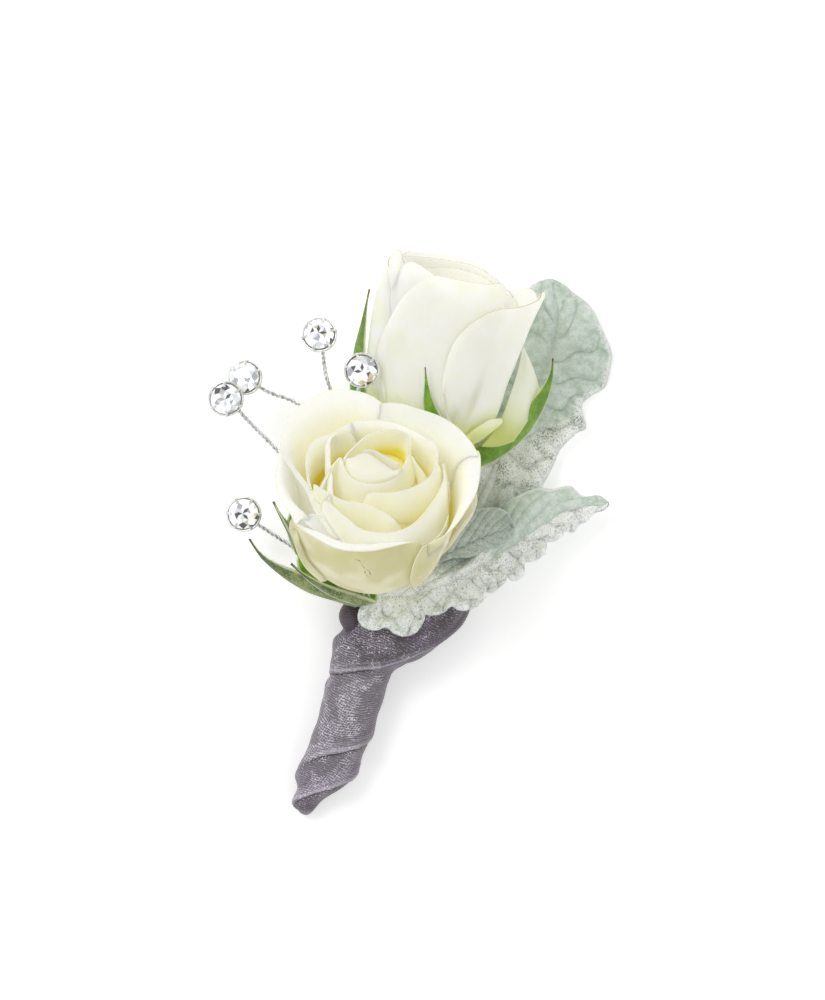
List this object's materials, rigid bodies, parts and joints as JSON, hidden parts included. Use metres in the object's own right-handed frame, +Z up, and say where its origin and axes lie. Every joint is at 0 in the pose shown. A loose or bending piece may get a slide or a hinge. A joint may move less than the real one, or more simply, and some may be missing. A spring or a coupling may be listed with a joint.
{
  "type": "boutonniere",
  "caption": "Lapel boutonniere of cream spray roses and felted silver leaves with rhinestones on twisted wires, its handle wound in mauve-grey ribbon; it lies flat.",
  "frame": {"origin": "the middle of the space it fills, on the surface that it lies on", "axes": "+X to the right of the handle seen from above, +Y along the handle towards the blooms, +Z up from the surface, towards the side worn outwards"},
  "size_m": [0.0812, 0.113, 0.0496],
  "materials": {
    "cream_petal": "satin",
    "ivory_petal": "satin",
    "rose_green": "satin",
    "felted_leaf": "matte",
    "rhinestone": "polished",
    "silver_cup": "polished",
    "silver_wire": "satin",
    "ribbon": "satin",
    "floral_tape": "matte"
  },
  "bodies": {
    "root": {"front_rose_petals": "cream_petal", "front_rose_green": "rose_green", "rear_rose_petals": "ivory_petal", "rear_rose_green": "rose_green", "leaf_upper": "felted_leaf", "leaf_lower": "felted_leaf", "stone_1": "rhinestone", "cup_1": "silver_cup", "wire_1": "silver_wire", "stone_2": "rhinestone", "cup_2": "silver_cup", "wire_2": "silver_wire", "stone_3": "rhinestone", "cup_3": "silver_cup", "wire_3": "silver_wire", "stone_4": "rhinestone", "cup_4": "silver_cup", "wire_4": "silver_wire", "stone_5": "rhinestone", "cup_5": "silver_cup", "wire_5": "silver_wire", "ribbon_wrap": "ribbon", "floral_tape": "floral_tape"}
  },
  "joints": []
}
